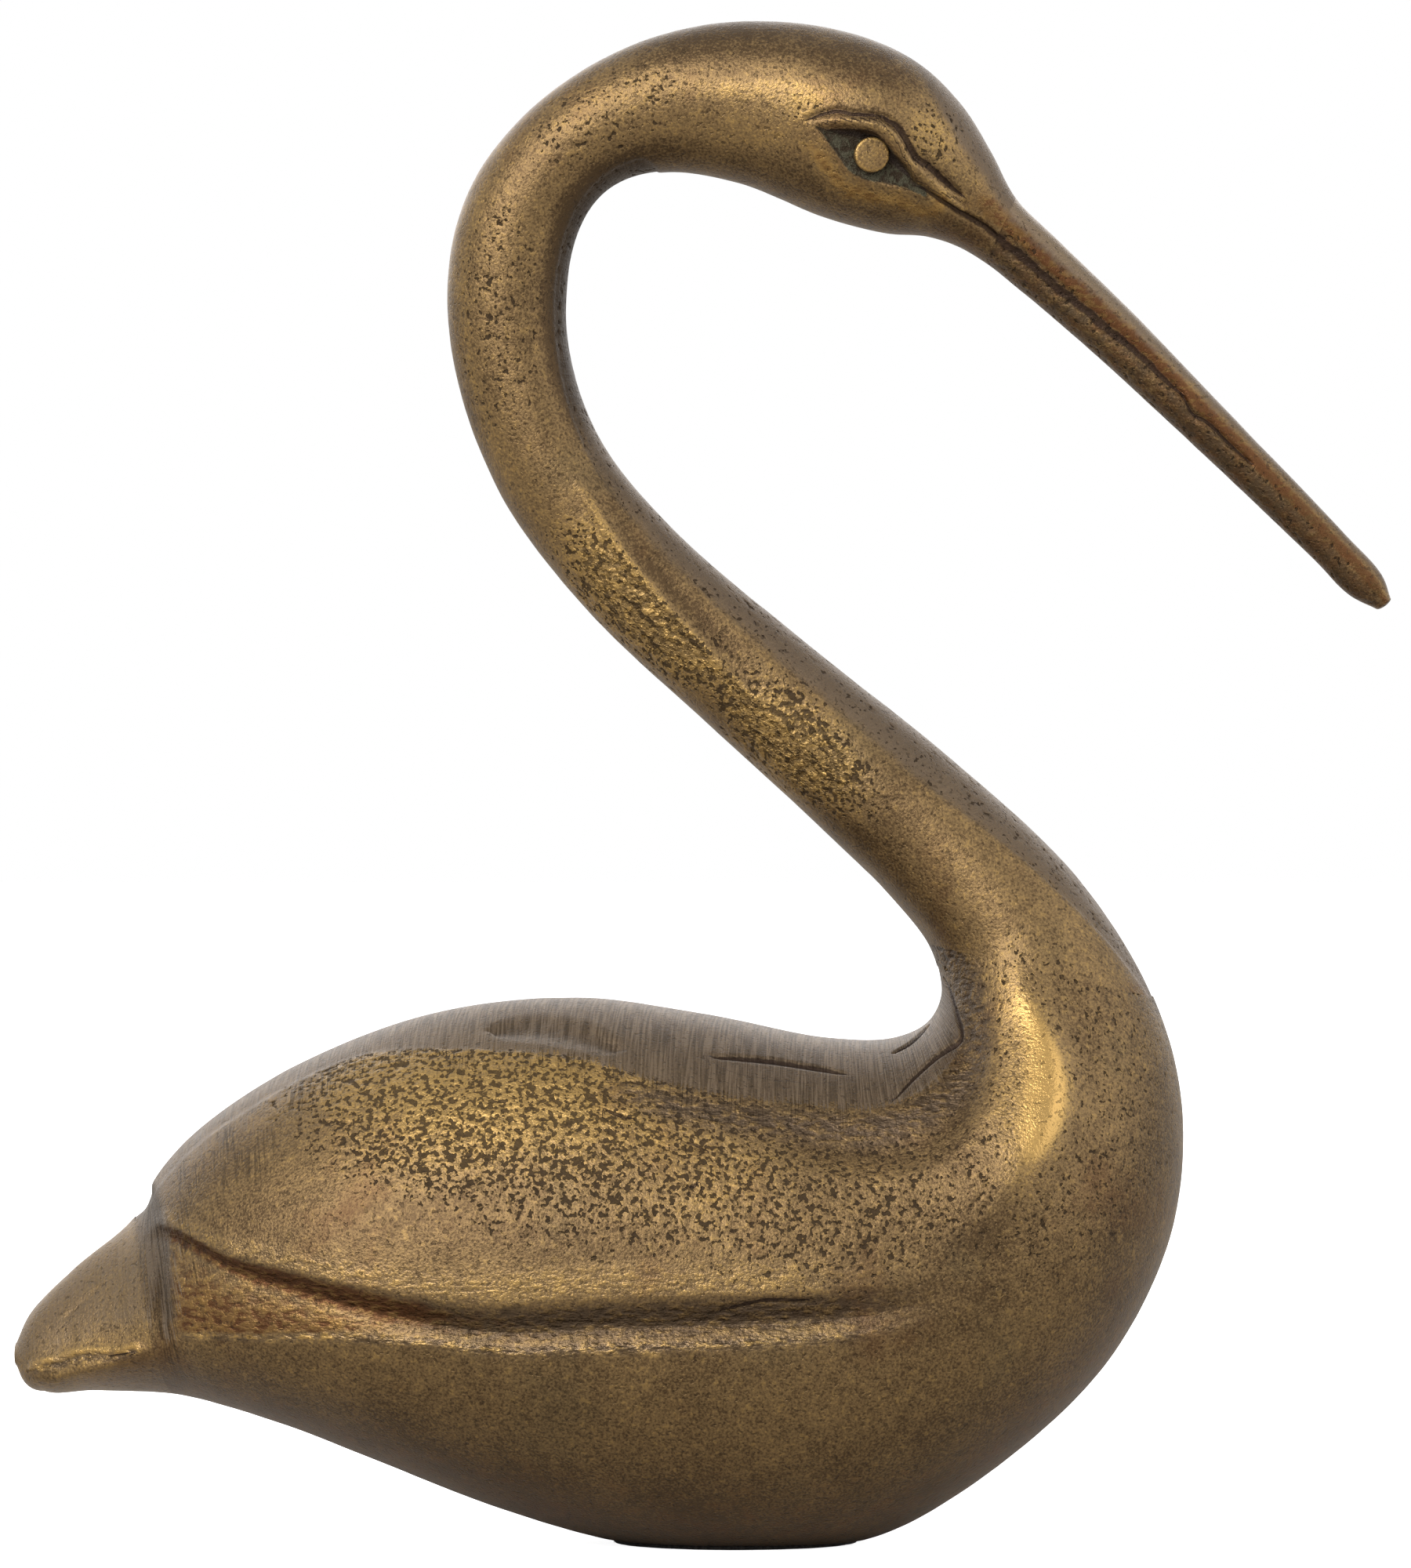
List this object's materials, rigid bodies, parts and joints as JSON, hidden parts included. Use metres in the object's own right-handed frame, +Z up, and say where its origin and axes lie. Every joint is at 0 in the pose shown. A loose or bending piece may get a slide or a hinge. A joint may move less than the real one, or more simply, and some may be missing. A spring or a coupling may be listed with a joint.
{
  "type": "cast brass crane figurine",
  "caption": "Ornamental crane at rest, its long neck folded back over a smooth hollow body and its long beak pointing down, standing on a flat felt foot.",
  "frame": {"origin": "on the underside of the felt foot, below the lowest point of the belly", "axes": "+Z up from the surface the bird rests on, +X the way the bird faces, +Y the bird's left side"},
  "size_m": [0.1262, 0.0472, 0.1396],
  "materials": {
    "body_brass": "aged sand-cast brass, pitted on the flanks, file-ground along the spine",
    "tail_brass": "aged cast brass, filed at the root, rubbed bright along the side edge",
    "neck_brass": "aged cast brass, pitted in the middle, file-ground along the crown and the spine",
    "beak_brass": "aged brass with a coppery heat tint",
    "eye_brass": "rubbed brass, darker round the edge",
    "black_felt": "thin black self-adhesive felt"
  },
  "bodies": {
    "root": {"right_body_half": "body_brass", "left_body_half": "body_brass", "tail": "tail_brass", "neck_and_head": "neck_brass", "beak": "beak_brass", "right_eye_stud": "eye_brass", "left_eye_stud": "eye_brass", "felt_foot": "black_felt"}
  },
  "joints": []
}
